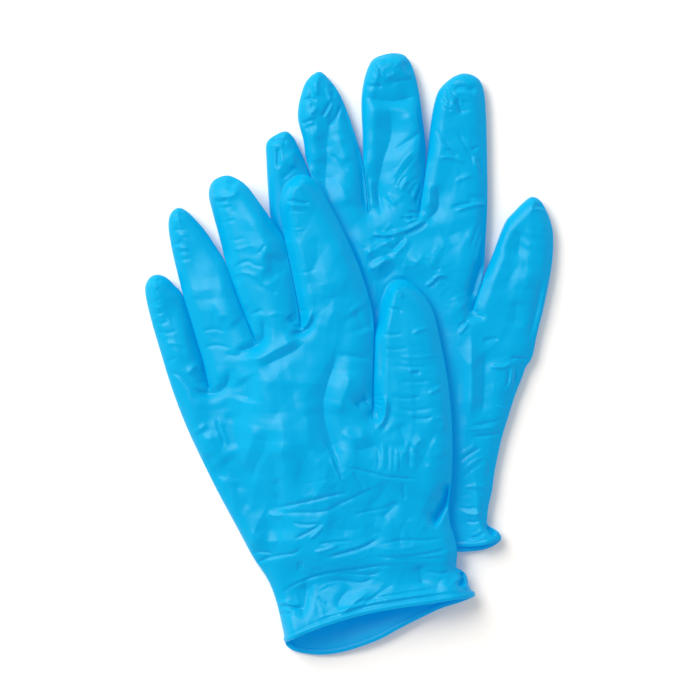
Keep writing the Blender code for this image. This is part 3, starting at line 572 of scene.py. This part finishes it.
def smooth_run(points, step):
    """Points about a step apart on a Catmull-Rom curve through the given ones."""
    through = np.reshape(points, (-1, 2)).astype(float)
    through = np.vstack([2 * through[0] - through[1], through, 2 * through[-1] - through[-2]])
    t = np.linspace(0, 1, CURVE_POINTS, endpoint=False)[:, None]
    dense = [
        0.5 * (2 * b + (c - a) * t + (2 * a - 5 * b + 4 * c - d) * t**2 + (3 * b - a - 3 * c + d) * t**3)
        for a, b, c, d in zip(through, through[1:], through[2:], through[3:])
    ]
    dense = np.vstack([*dense, through[-2]])
    along = np.concatenate([[0], np.cumsum(np.linalg.norm(np.diff(dense, axis=0), axis=1))])
    stations = np.linspace(0, along[-1], max(3, round(along[-1] / step) + 1))
    return np.column_stack([np.interp(stations, along, column) for column in dense.T])


def averaged(values):
    """Each value's mean with its neighbours on both sides."""
    shares = np.full(OUTLINE_MEAN, 1 / OUTLINE_MEAN)
    return np.convolve(np.pad(values, OUTLINE_MEAN // 2, "edge"), shares, "valid")


def inside(loop, points):
    """Whether each point is inside a closed loop."""
    x0, y0 = loop.T
    x1, y1 = np.roll(loop, -1, axis=0).T
    rise = np.where(y1 == y0, 1, y1 - y0)
    found = np.zeros(len(points), bool)
    for part in np.array_split(np.arange(len(points)), len(points) // BATCH + 1):
        x, y = points[part, :1], points[part, 1:]
        spans = (y0 > y) != (y1 > y)
        found[part] = (spans & (x < (x1 - x0) * (y - y0) / rise + x0)).sum(1) % 2 == 1
    return found


class Edge:
    """A polyline that says how far points are from it, and which of its own points is the nearest."""

    def __init__(self, line):
        self.line = line
        self.tree = kdtree.KDTree(len(line))
        for number, (x, y) in enumerate(line):
            self.tree.insert((x, y, 0), number)
        self.tree.balance()

    def nearest(self, points, tries=1):
        """The distances, and the nearest of the line's points. Lines that nearly touch take more tries."""
        hits = [self.tree.find_n((x, y, 0), tries) for x, y in points.tolist()]
        found = np.array([[index for _, index, _ in hit] for hit in hits])
        best, spot = np.full(len(points), np.inf), np.zeros(len(points), int)
        for index in found.T:
            for start in (np.maximum(index - 1, 0), np.minimum(index, len(self.line) - 2)):
                a, step = self.line[start], self.line[start + 1] - self.line[start]
                length = np.maximum((step**2).sum(1), 1e-9)
                share = np.clip(((points - a) * step).sum(1) / length, 0, 1)
                distance = np.linalg.norm(points - a - share[:, None] * step, axis=1)
                closer = distance < best
                best[closer], spot[closer] = distance[closer], index[closer]
        return best, spot


def closed_edge(loop):
    return Edge(np.vstack([loop, loop[:1]]))


def grid_points(loop, step, hidden_by):
    """Points in staggered rows over the loop's box, with fewer where another glove's outline hides them."""
    low, high = loop.min(0), loop.max(0)
    columns = np.arange(low[0], high[0] + step, step)
    rows = np.arange(low[1], high[1], step * ROW_STEP)
    grid = np.array([(x + (row % 2) * step / 2, y) for row, y in enumerate(rows) for x in columns])
    if hidden_by is None:
        return grid
    row, column = np.divmod(np.arange(len(grid)), len(columns))
    spare = (row % HIDDEN_STEP > 0) | (column % HIDDEN_STEP > 0)
    spare[spare] = inside(hidden_by.line, grid[spare])
    spare[spare] = hidden_by.nearest(grid[spare])[0] > HIDDEN_FROM
    return grid[~spare]


def flat_sheet(side, mouth, step, hidden_by=None):
    """Triangles of the area inside a side outline and a mouth line. The side's points come first."""
    loop = np.vstack([side, mouth[1:-1]])
    edge = closed_edge(loop)
    grid = grid_points(loop, step, hidden_by)
    grid = grid[inside(loop, grid)]
    grid = grid[edge.nearest(grid)[0] > RINGS[-1] + RING_ROOM * step]
    along = np.roll(loop, -1, axis=0) - np.roll(loop, 1, axis=0)
    inward = np.column_stack([along[:, 1], -along[:, 0]]) / np.linalg.norm(along, axis=1)[:, None]
    rings = []
    for depth in RINGS:
        ring = loop + depth * inward
        ring = ring[inside(loop, ring)]
        rings.append(ring[edge.nearest(ring)[0] > RING_LEAST * depth])
    points = np.vstack([loop, *rings, grid])
    edges = [(i, (i + 1) % len(loop)) for i in range(len(loop))]
    _, _, faces, sources, _, _ = delaunay_2d_cdt([Vector(p) for p in points], edges, [], 0, 1e-6)
    index = np.array([min(s) for s in sources])
    faces = index[np.array([f[:3] for f in faces])]
    return points, faces[inside(loop, points[faces].mean(1))]


def stroke(points, path, height, left, right=None):
    """Heights of a crease: sharp along its path, fading to the path's ends and to its feet."""
    right = left if right is None else right
    line = smooth_run(path, PATH_STEP)
    reach = CREASE_REACH * max(left, right)
    low, high = line.min(0) - reach, line.max(0) + reach
    near = np.flatnonzero(((points > low) & (points < high)).all(1))
    raised = np.zeros(len(points))
    starts, steps = line[:-1], np.diff(line, axis=0)
    offset = points[near, None] - starts[None]
    share = np.clip((offset * steps).sum(2) / (steps**2).sum(1), 0, 1)
    away = offset - share[..., None] * steps
    distance = np.linalg.norm(away, axis=2)
    nearest = distance.argmin(1)
    pick = np.arange(len(near)), nearest
    cross = steps[nearest, 0] * away[pick][:, 1] - steps[nearest, 1] * away[pick][:, 0]
    along = (nearest + share[pick]) / len(starts)
    fade = smoothstep(along / CREASE_END) * smoothstep((1 - along) / CREASE_END)
    width = np.where(cross > 0, left, right)
    raised[near] = height * fade * np.clip(1 - distance[pick] / (CREASE_REACH * width), 0, 1) ** 2
    return raised


def wrinkles(seed, centre, radii, heading, count, length, height, width):
    """Small creases scattered over an oval, near one heading in degrees. Two in three are valleys."""
    rng = np.random.default_rng(seed)
    found = []
    for _ in range(count):
        turn, out = rng.uniform(0, 2 * pi), np.sqrt(rng.random())
        spot = np.array(centre) + out * np.array(radii) * (cos(turn), sin(turn))
        way = radians(heading + rng.normal(0, HEADING_SPREAD))
        half = 0.5 * length * rng.uniform(*LENGTHS) * np.array([cos(way), sin(way)])
        bow = rng.normal(0, BOW_SPREAD) * np.array([-half[1], half[0]])
        size = height * rng.uniform(*HEIGHTS) * rng.choice([-1, -1, 1])
        spread = width * rng.uniform(*WIDTHS)
        found.append((size, spread, [spot - half, spot + bow, spot + half]))
    return found


def crumple(points, seed):
    """Heights of folds at random headings, each in its own patches, that leave flat facets between them."""
    rng = np.random.default_rng(seed)
    total = np.zeros(len(points))
    for length in FACETS:
        heading, bend, shift, *patch = rng.uniform(0, 2 * pi, 5)
        across = points @ (cos(heading), sin(heading))
        along = points @ (-sin(heading), cos(heading))
        share = across / length + FACET_BOW * np.sin(FACET_WAVE * along / length + bend) + shift
        strength = smoothstep(0.5 + np.sin(points / (FACET_PATCH * length) + patch).prod(axis=1))
        total += FACET_SLOPE * length / 2 * abs(2 * (share % 1) - 1) * strength
    return total


def at_cuffs(points):
    """0 on the palms and fingers, 1 at the cuffs."""
    return smoothstep((CUFFS_FROM - points[:, 1]) / CUFFS_REACH)


def stack_height(points):
    return STACK_HEIGHT - CUFF_SINK * at_cuffs(points)


class Glove:
    """One glove's outline and the heights of its two sheets."""

    def __init__(self, name, runs, mouths, heights, creases, patches, seed, below=None):
        """The mouths are the cuff's upper and lower lines. The heights are of the mouth and its lip."""
        self.name = name
        top_mouth, under_mouth = mouths
        self.mouth_height, self.lip_height = heights
        lines = [smooth_run(points, OUTLINE_STEP) for points in runs.values()]
        self.fingers = list(runs)
        self.side = np.vstack(lines)
        self.runs = np.concatenate([np.full(len(line), i) for i, line in enumerate(lines)])
        self.edge = Edge(self.side)
        along = np.vstack([np.gradient(line, axis=0) for line in lines])
        shade = (np.column_stack([-along[:, 1], along[:, 0]]) @ SHADED_SIDE) / np.linalg.norm(along, axis=1)
        self.shade = averaged(shade)
        between = np.linalg.norm(self.side[:, None] - self.side[None], axis=2)
        between[self.runs[:, None] == self.runs[None]] = np.inf
        at_slit = between.min(1) < SLIT_WIDTH
        rise = averaged(np.where(at_slit, np.where(self.shade < 0, SLIT_OVER, SLIT_UNDER), 0))
        self.top_mouth = smooth_run(top_mouth, OUTLINE_STEP)
        self.under_mouth = smooth_run(under_mouth, OUTLINE_STEP)
        self.top_edge, self.under_edge = Edge(self.top_mouth), Edge(self.under_mouth)
        self.creases = creases + [crease for patch in patches for crease in wrinkles(*patch)]
        self.below, self.above, self.seed = below, None, seed
        self.stacked = self.base(self.side) / STACK_HEIGHT
        self.fold = (1 - self.stacked) * (FOLD_HEIGHT + FOLD_SWING * self.shade)
        self.fold += self.stacked * (STACK_FOLD + STACK_SWING * self.shade) + rise
        self.footprint = np.vstack([self.side, self.under_mouth[1:-1]])
        self.footprint_edge = closed_edge(self.footprint)

    def base(self, points):
        """Height of what lies under the glove: the floor, or the glove below with a slope beside it."""
        if self.below is None:
            return np.zeros(len(points))
        away, _ = self.below.footprint_edge.nearest(points)
        outside = np.where(inside(self.below.footprint, points), -away, away)
        cuff = at_cuffs(points)
        near, far = ((1 - cuff) * at_palm + cuff * at_cuff for at_palm, at_cuff in zip(*DRAPE))
        return stack_height(points) * smoothstep((far - outside) / (far - near))

    def top(self, points):
        """Heights of the upper sheet. Under another glove it keeps only its valleys and stays below it."""
        away, spot = self.edge.nearest(points, TRIES)
        shade, fold = self.shade[spot], self.fold[spot]
        inward = 1 - np.clip(away / (CROWN + CROWN_SWING * shade), 0, 1)
        on_floor = 0.5 + 0.5 * np.clip(shade, 0, 1)
        on_glove = 1 + 0.5 * np.clip(-shade, 0, 1)
        swell = (1 - inward**2) ** (on_floor + (on_glove - on_floor) * self.stacked[spot])
        mouth_away, _ = self.top_edge.nearest(points)
        crown = THICKNESS + PALM_SWELL * smoothstep((away - PALM_FROM) / PALM_REACH)
        crown += (self.mouth_height - crown) * smoothstep(1 - mouth_away / MOUTH_REACH)
        height = fold + (crown - fold) * swell
        strokes = (stroke(points, path, *sizes) for *sizes, path in self.creases)
        detail = sum(strokes, np.zeros(len(points))) * smoothstep(away / CALM_EDGE)
        facets = crumple(points, self.seed) * smoothstep(away / FACET_FADE)
        if self.above is not None:
            away, _ = self.above.nearest(points)
            hidden = inside(self.above.line, points)
            beside = np.where(hidden, 0, away)
            swelled = SWELL * beside * smoothstep(beside / SWELL_FROM)
            height = np.minimum(height, stack_height(points) - STACK_GAP + swelled)
            detail = np.where(hidden, np.minimum(detail, 0), detail) * smoothstep(away / BESIDE_CALM)
            facets *= np.where(hidden, -1, 1) * smoothstep(away / BESIDE_FADE)
        return self.base(points) + np.maximum(height + detail + facets, THINNEST)

    def underside(self, points):
        away, spot = self.edge.nearest(points, TRIES)
        inward = 1 - np.clip(away / UNDERSIDE, 0, 1)
        mouth_away, _ = self.under_edge.nearest(points)
        lip = smoothstep((points[:, 0] - self.under_mouth[-1, 0]) / LIP_RISE)
        lip = lip * smoothstep(1 - mouth_away / LIP_REACH)
        facets = UNDER_CRUMPLE * crumple(points, self.seed + 1) * smoothstep(away / FACET_FADE)
        floor = FLOOR_GAP + facets + self.lip_height * lip
        return self.base(points) + floor + (self.fold[spot] - floor) * (1 - np.sqrt(1 - inward**2))

    def mouth_loop(self):
        """The middle of the bead: a closed line along the film's upper and lower edges."""
        top, under = self.top_mouth, self.under_mouth[::-1]
        upper = np.column_stack([top, self.top(top) - BEAD_DROP * BEAD_HEIGHT])
        lowest = self.base(under) + BEAD_HEIGHT / 2
        lower = np.column_stack([under, np.maximum(self.underside(under), lowest)])
        loop = np.vstack([upper, lower])
        for _ in range(BEAD_ROUNDS):
            loop = (np.roll(loop, 1, axis=0) + 2 * loop + np.roll(loop, -1, axis=0)) / 4
        return loop


def film_surface(glove):
    """The film's outer surface as points, and triangles facing out."""
    shared = len(glove.side)
    top_flat, top_faces = flat_sheet(glove.side, glove.top_mouth, TOP_STEP, glove.above)
    under_flat, under_faces = flat_sheet(glove.side, glove.under_mouth, UNDER_STEP)
    points = np.vstack([
        np.column_stack([top_flat, glove.top(top_flat)]),
        np.column_stack([under_flat, glove.underside(under_flat)])[shared:],
    ])
    moved = len(top_flat) - shared
    under_faces = np.where(under_faces < shared, under_faces, under_faces + moved)[:, ::-1]
    return points, np.vstack([top_faces, under_faces])


def vertex_normals(points, faces):
    corners = points[faces]
    across = np.cross(corners[:, 1] - corners[:, 0], corners[:, 2] - corners[:, 0])
    normals = np.zeros_like(points)
    for k in range(3):
        np.add.at(normals, faces[:, k], across)
    return normals / np.maximum(np.linalg.norm(normals, axis=1), 1e-12)[:, None]


def link_new(name, data):
    """A new object in the scene."""
    obj = bpy.data.objects.new(name, data)
    bpy.context.scene.collection.objects.link(obj)
    return obj


def add_piece(name, points, faces, normals, materials, slot, inner=slice(0)):
    """A mesh object. The faces of the inner range take the second material."""
    mesh = bpy.data.meshes.new(name)
    mesh.from_pydata((points * MM).tolist(), [], faces)
    for material in materials:
        mesh.materials.append(material)
    for face in mesh.polygons[inner]:
        face.material_index = 1
    mesh.shade_smooth()
    mesh.normals_split_custom_set_from_vertices(normals.tolist())
    obj = link_new(name, mesh)
    return obj


def open_edges(faces):
    """The directed edges that only one triangle has."""
    edges = np.vstack([faces[:, [0, 1]], faces[:, [1, 2]], faces[:, [2, 0]]]).tolist()
    keys = {tuple(e) for e in edges}
    return [e for e in edges if (e[1], e[0]) not in keys]


def film_piece(name, points, normals, faces, materials):
    """A closed piece of film: the outer triangles, the same ones facing in, and a rim between."""
    used, local = np.unique(faces, return_inverse=True)
    faces = local.reshape(-1, 3)
    outer, facing = points[used], normals[used]
    inner = outer - FILM * facing
    count = len(used)
    rim = [(a, b, b + count, a + count)[::-1] for a, b in open_edges(faces)]
    all_faces = [*faces.tolist(), *(faces[:, ::-1] + count).tolist(), *rim]
    inside_faces = slice(len(faces), 2 * len(faces))
    both = np.vstack([outer, inner]), all_faces, np.vstack([facing, -facing])
    return add_piece(name, *both, materials, "nitrile_film", inside_faces)


def knuckles_of(glove_name):
    """Each bending finger's hinge: where its axis is and which way its tip lies, from the joints."""
    found = {}
    for joint in frame["joints"]:
        child = joint["child"]
        if joint["type"] == "hinge" and child.startswith(glove_name):
            finger = child.removeprefix(f"{glove_name}_")
            axis = joint["axis"]
            found[finger] = np.array(joint["pos_m"]) / MM, np.array([-axis[1], axis[0]])
    return found


def build_film(glove, materials):
    """The hand's piece, on the glove's body, and a piece for each finger that has a hinge."""
    points, faces = film_surface(glove)
    normals = vertex_normals(points, faces)
    centres = points[faces][:, :, :2].mean(1)
    run = glove.runs[glove.edge.nearest(centres, TRIES)[1]]
    taken = np.zeros(len(faces), bool)
    body = f"{glove.name}_glove"
    for finger, (hinge, ahead) in knuckles_of(glove.name).items():
        mine = (run == glove.fingers.index(finger)) & ((centres - hinge[:2]) @ ahead > -SEAM_BEHIND)
        taken |= mine
        piece = film_piece(f"{glove.name}_{finger}_film", points, normals, faces[mine], materials)
        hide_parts(f"{glove.name}_{finger}")
        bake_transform(piece)
    hand = film_piece(f"{glove.name}_hand_skin", points, normals, faces[~taken], materials)
    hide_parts(f"{glove.name}_hand_film")
    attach(hand, body)


def build_bead(glove, material):
    """The rolled edge: a cord with shallow grooves along it, where the turns of the roll meet."""
    loop = glove.mouth_loop()
    across = glove.top_mouth[0] - glove.top_mouth[-1]
    outward = np.array([across[1], -across[0], 0]) / np.linalg.norm(across)
    along = np.roll(loop, -1, axis=0) - np.roll(loop, 1, axis=0)
    along /= np.linalg.norm(along, axis=1)[:, None]
    out = outward - (along @ outward)[:, None] * along
    out /= np.linalg.norm(out, axis=1)[:, None]
    over = np.cross(along, out)
    angles = np.linspace(0, 2 * pi, BEAD_SIDES, endpoint=False)[:, None]
    groove = 1 - GROOVE_DEPTH * np.cos(GROOVES / 2 * angles) ** GROOVE_POWER
    wide = BEAD_WIDTH / 2 * np.cos(angles) * groove
    high = BEAD_HEIGHT / 2 * np.sin(angles) * groove
    points = (loop[:, None] + wide * out[:, None] + high * over[:, None]).reshape(-1, 3)
    here = np.arange(len(points)).reshape(-1, BEAD_SIDES)
    ahead, beside = np.roll(here, -1, axis=0), np.roll(here, -1, axis=1)
    both = np.roll(ahead, -1, axis=1)
    halves = [here, beside, both], [here, both, ahead]
    faces = np.vstack([np.dstack(half).reshape(-1, 3) for half in halves])
    normals = vertex_normals(points, faces)
    bead = add_piece(f"{glove.name}_cuff_bead", points, faces.tolist(), normals, [material], "rolled_edge")
    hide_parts(f"{glove.name}_rolled_bead")
    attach(bead, f"{glove.name}_glove")


def nitrile(name, colour, dark, gloss_range):
    """Satin blue film: slightly mottled colour and gloss over a very fine grain, with an even blue glow of
    painted light.
    """
    material = bpy.data.materials.new(name)
    material.use_nodes = True
    nodes, links = material.node_tree.nodes, material.node_tree.links
    shader = nodes["Principled BSDF"]
    coords = nodes.new("ShaderNodeTexCoord")

    def noise(scale, detail):
        node = nodes.new("ShaderNodeTexNoise")
        node.inputs["Scale"].default_value = scale
        node.inputs["Detail"].default_value = detail
        links.new(coords.outputs["Object"], node.inputs["Vector"])
        return node.outputs["Fac"]

    mottle = nodes.new("ShaderNodeMix")
    mottle.data_type = "RGBA"
    mottle.inputs["A"].default_value = colour
    mottle.inputs["B"].default_value = dark
    links.new(noise(*MOTTLE_NOISE), mottle.inputs["Factor"])
    links.new(mottle.outputs["Result"], shader.inputs["Base Color"])
    gloss = nodes.new("ShaderNodeMapRange")
    gloss.inputs["To Min"].default_value = gloss_range[0]
    gloss.inputs["To Max"].default_value = gloss_range[1]
    links.new(noise(*GLOSS_NOISE), gloss.inputs["Value"])
    links.new(gloss.outputs["Result"], shader.inputs["Roughness"])
    bump = nodes.new("ShaderNodeBump")
    bump.inputs["Strength"].default_value = GRAIN_STRENGTH
    bump.inputs["Distance"].default_value = GRAIN_DEPTH
    links.new(noise(*GRAIN_NOISE), bump.inputs["Height"])
    links.new(bump.outputs["Normal"], shader.inputs["Normal"])
    shader.inputs["Specular IOR Level"].default_value = SHINE
    # painted light: an even blue glow that stands in for the light coming through the film
    shader.inputs["Emission Color"].default_value = GLOW_COLOUR
    shader.inputs["Emission Strength"].default_value = GLOW
    return material


def make_floor():
    mesh = bpy.data.meshes.new("floor")
    low, high = -FLOOR_HALF, FLOOR_HALF
    mesh.from_pydata([(low, low, 0), (high, low, 0), (high, high, 0), (low, high, 0)], [], [(0, 1, 2, 3)])
    floor = link_new("floor", mesh)
    floor.location.z = -FLOOR_DROP
    material = bpy.data.materials.new("pale_floor")
    material.use_nodes = True
    shader = material.node_tree.nodes["Principled BSDF"]
    shader.inputs["Base Color"].default_value = FLOOR_COLOUR
    shader.inputs["Roughness"].default_value = 0.9
    shader.inputs["Specular IOR Level"].default_value = 0.1
    mesh.materials.append(material)


def add_light(name, place, size, power):
    """A square light that faces the middle of the floor."""
    light = bpy.data.lights.new(name, "AREA")
    light.size = size
    light.energy = power
    obj = link_new(name, light)
    obj.location = place
    obj.rotation_euler = (-Vector(place)).to_track_quat("-Z", "Y").to_euler()
    return obj


def make_lights():
    """A softbox from the upper left, a panel that only reflections show, and a room with bright walls."""
    world = bpy.data.worlds.new("studio")
    bpy.context.scene.world = world
    world.use_nodes = True
    nodes, links = world.node_tree.nodes, world.node_tree.links
    coords = nodes.new("ShaderNodeTexCoord")
    split = nodes.new("ShaderNodeSeparateXYZ")
    height = nodes.new("ShaderNodeMapRange")
    height.inputs["To Min"].default_value = WALL_LIGHT
    height.inputs["To Max"].default_value = CEILING_LIGHT
    links.new(coords.outputs["Generated"], split.inputs["Vector"])
    links.new(split.outputs["Z"], height.inputs["Value"])
    links.new(height.outputs["Result"], nodes["Background"].inputs["Strength"])
    nodes["Background"].inputs["Color"].default_value = (1, 1, 1, 1)
    add_light("key", *KEY)
    sheen = add_light("sheen", *SHEEN)
    sheen.visible_diffuse = False
    bpy.context.scene.view_settings.view_transform = "Standard"


def make_camera():
    """Straight above, where the view is VIEW_WIDTH wide at the floor."""
    camera = bpy.data.cameras.new("camera")
    camera.lens, camera.sensor_width = LENS, SENSOR
    camera.clip_start, camera.clip_end = CLIP
    obj = link_new("camera", camera)
    obj.location = (*VIEW_CENTRE, VIEW_WIDTH * LENS / SENSOR)
    bpy.context.scene.camera = obj


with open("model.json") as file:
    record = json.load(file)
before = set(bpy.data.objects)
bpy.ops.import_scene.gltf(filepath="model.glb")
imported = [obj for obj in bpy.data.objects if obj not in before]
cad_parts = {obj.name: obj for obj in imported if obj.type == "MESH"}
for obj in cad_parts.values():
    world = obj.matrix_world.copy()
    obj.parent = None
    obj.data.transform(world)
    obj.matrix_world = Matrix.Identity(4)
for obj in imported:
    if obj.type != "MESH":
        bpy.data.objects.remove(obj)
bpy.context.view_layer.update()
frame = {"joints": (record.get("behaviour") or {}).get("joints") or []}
make_camera()
make_lights()
make_floor()
film = nitrile("nitrile_film", *FILM_LOOK)
# painted light: the inner faces take a lighter blue, for the light that comes through the film
inside_film_painted_light = nitrile("nitrile_inside", *INSIDE_PAINTED_LIGHT_LOOK)
rolled = nitrile("rolled_edge", *BEAD_LOOK)
back_glove = Glove("back", BACK_RUNS, BACK_MOUTHS, BACK_HEIGHTS, BACK_CREASES, BACK_WRINKLES, BACK_SEED)
front_glove = Glove(
    "front", FRONT_RUNS, FRONT_MOUTHS, FRONT_HEIGHTS, FRONT_CREASES, FRONT_WRINKLES, FRONT_SEED, back_glove
)
back_glove.above = front_glove.footprint_edge
for glove in (back_glove, front_glove):
    build_film(glove, [film, inside_film_painted_light])
    build_bead(glove, rolled)
